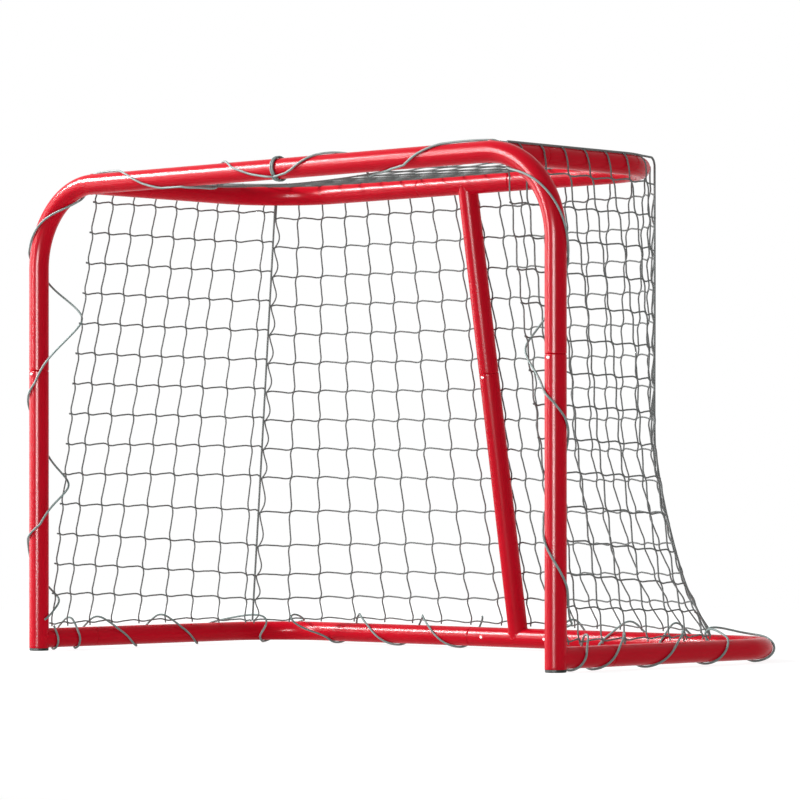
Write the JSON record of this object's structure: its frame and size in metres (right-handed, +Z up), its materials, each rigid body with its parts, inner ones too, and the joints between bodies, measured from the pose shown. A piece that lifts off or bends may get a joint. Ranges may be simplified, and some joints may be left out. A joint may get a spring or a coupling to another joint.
{
  "type": "hockey goal",
  "caption": "Free-standing hockey goal: bent steel tube frame that pulls apart at snap-button joints, with a bag net laced to it.",
  "frame": {"origin": "bottom centre of the bounding box, on the floor under the middle of the goal", "axes": "+X along the crossbar, to the right as seen from the front; +Y to the back; +Z up. The mouth faces -Y"},
  "size_m": [1.3818, 0.6976, 0.922],
  "materials": {
    "red_paint": "gloss",
    "button_steel": "polished",
    "spring_steel": "plain",
    "cap": "matte",
    "twine": "twisted twine",
    "cord": "braided cord"
  },
  "bodies": {
    "frame": {"upper_frame": "red_paint", "top_stub_left": "red_paint", "top_stub_right": "red_paint", "lower_post_left": "red_paint", "lower_post_right": "red_paint", "base_stub_left": "red_paint", "base_stub_right": "red_paint", "foot_cap_left": "cap", "foot_cap_right": "cap", "top_rail_left": "red_paint", "top_rail_right": "red_paint", "base_rail_left": "red_paint", "base_rail_right": "red_paint", "top_tee": "red_paint", "base_tee": "red_paint", "strut_upper": "red_paint", "strut_lower": "red_paint", "post_button_left_spring": "spring_steel", "post_button_right_spring": "spring_steel", "base_button_left_spring": "spring_steel", "base_button_right_spring": "spring_steel", "strut_button_spring": "spring_steel", "side_net_left": "twine", "side_net_right": "twine", "back_net": "twine", "top_net": "twine", "corner_rope_left": "cord", "corner_rope_right": "cord", "rear_rope": "cord", "top_lacing": "cord", "base_lacing_left": "cord", "base_lacing_right": "cord"},
    "post_button_left": {"post_button_left": "button_steel"},
    "post_button_right": {"post_button_right": "button_steel"},
    "base_button_left": {"base_button_left": "button_steel"},
    "base_button_right": {"base_button_right": "button_steel"},
    "strut_button": {"strut_button": "button_steel"}
  },
  "joints": [
    {"name": "post_button_left_press", "type": "slide", "parent": "frame", "child": "post_button_left", "axis": [0, 1, 0], "range_m": [0, 0.0044], "stiffness_N_per_m": 3000, "deforming": ["post_button_left_spring"]},
    {"name": "post_button_right_press", "type": "slide", "parent": "frame", "child": "post_button_right", "axis": [0, 1, 0], "range_m": [0, 0.0044], "stiffness_N_per_m": 3000, "deforming": ["post_button_right_spring"]},
    {"name": "base_button_left_press", "type": "slide", "parent": "frame", "child": "base_button_left", "axis": [0, 1, 0], "range_m": [0, 0.0044], "stiffness_N_per_m": 3000, "deforming": ["base_button_left_spring"]},
    {"name": "base_button_right_press", "type": "slide", "parent": "frame", "child": "base_button_right", "axis": [0, 1, 0], "range_m": [0, 0.0044], "stiffness_N_per_m": 3000, "deforming": ["base_button_right_spring"]},
    {"name": "strut_button_press", "type": "slide", "parent": "frame", "child": "strut_button", "axis": [0, 0.9861, 0.1664], "range_m": [0, 0.0044], "stiffness_N_per_m": 3000, "deforming": ["strut_button_spring"]}
  ]
}
